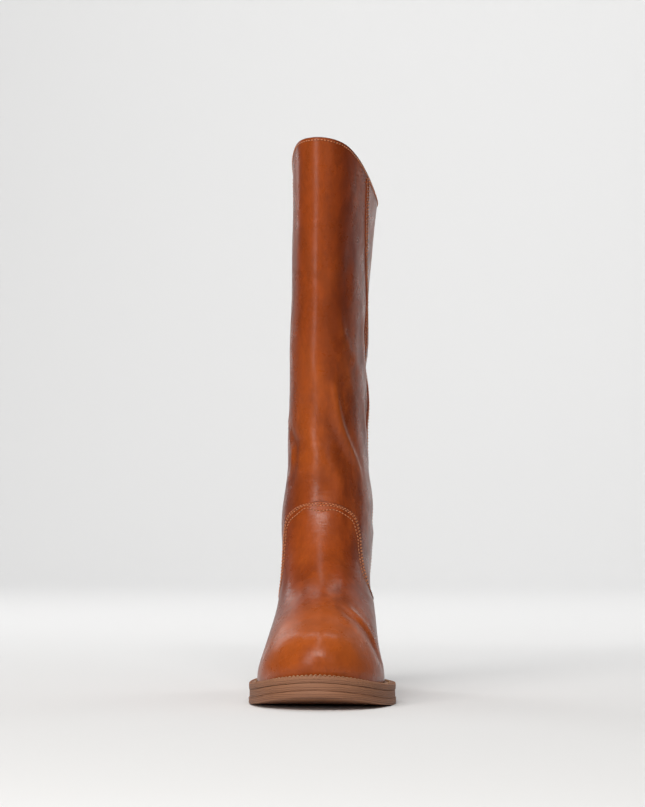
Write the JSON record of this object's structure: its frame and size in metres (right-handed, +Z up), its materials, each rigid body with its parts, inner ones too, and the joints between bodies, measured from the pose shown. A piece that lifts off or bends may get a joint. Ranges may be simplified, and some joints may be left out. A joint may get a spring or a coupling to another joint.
{
  "type": "knee-high boot",
  "caption": "Pull-on knee-high boot for the right foot: hollow leather shaft and foot, tongue-topped vamp overlay, welted moulded sole and low block heel.",
  "frame": {"origin": "on the floor, at the middle of the heel's underside", "axes": "+Z up, -Y towards the toe, +X towards the inner (medial) side of the right foot"},
  "size_m": [0.1074, 0.2785, 0.412],
  "materials": {
    "tan_leather": "burnished, semi-gloss",
    "sole_rubber": "moulded, matt",
    "footbed": "plain lining leather, matt"
  },
  "bodies": {
    "root": {"outsole": "sole_rubber", "heel": "sole_rubber", "midsole": "sole_rubber", "welt": "sole_rubber", "insole": "footbed", "upper": "tan_leather", "vamp": "tan_leather"}
  },
  "joints": []
}
